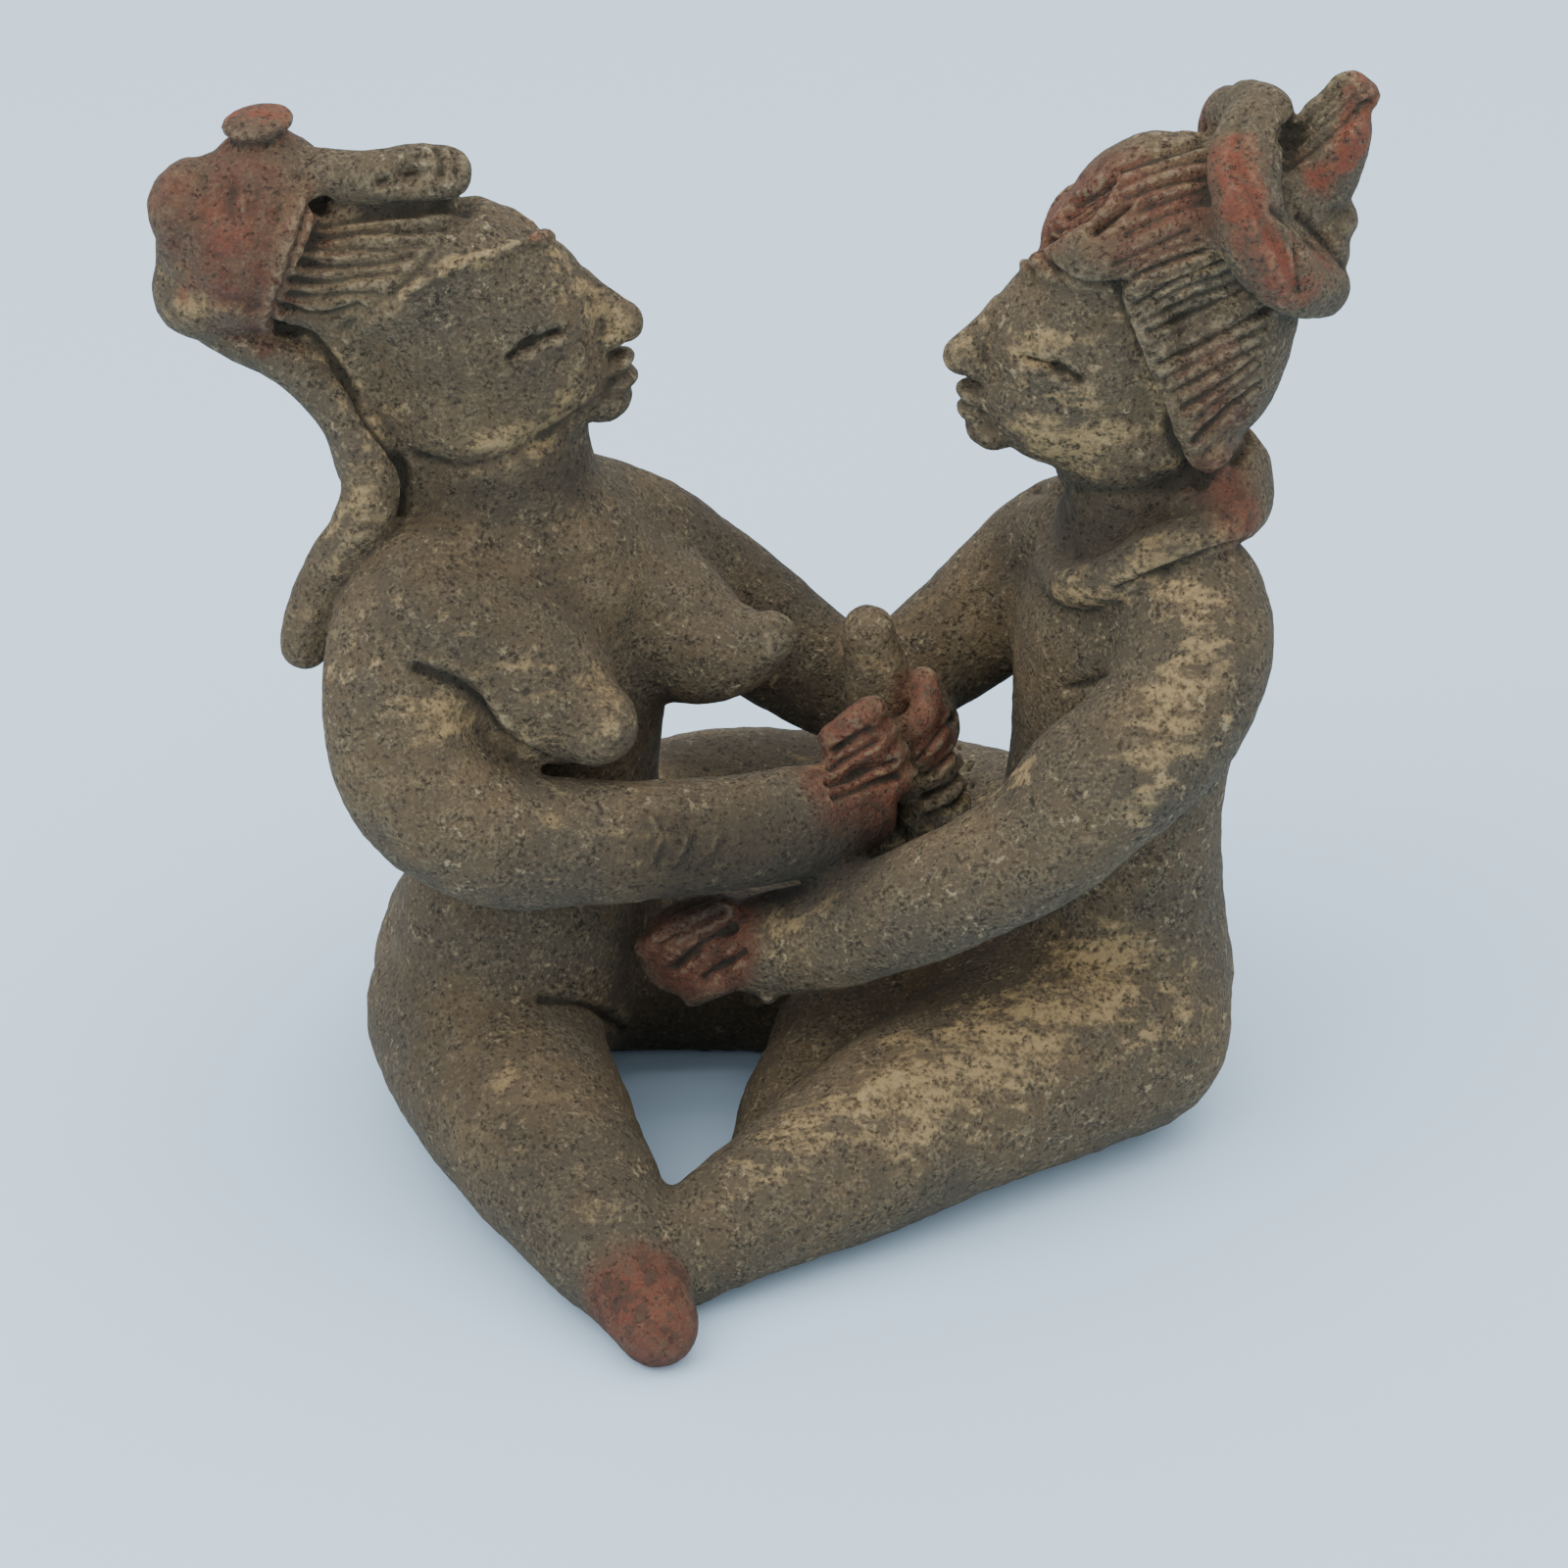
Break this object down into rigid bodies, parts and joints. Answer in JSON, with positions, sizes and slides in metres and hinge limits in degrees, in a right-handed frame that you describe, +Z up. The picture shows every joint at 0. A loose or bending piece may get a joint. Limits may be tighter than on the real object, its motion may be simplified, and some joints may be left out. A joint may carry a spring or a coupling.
{
  "type": "clay couple figurine",
  "caption": "Hand-modelled fired clay figurine of a woman and a man seated face to face with their legs meeting, her hands round an upright shaft between them.",
  "frame": {"origin": "on the surface it stands on, under the centre of the bounding box", "axes": "+Z up, +X from the woman towards the man, -Y the front, to which both bodies are slightly turned"},
  "size_m": [0.1458, 0.1346, 0.14],
  "materials": {
    "fired_clay": "low-fired grey-brown clay with ochre mineral deposits and traces of red pigment, dry and matt"
  },
  "bodies": {
    "root": {"clay_couple": "fired_clay"}
  },
  "joints": []
}
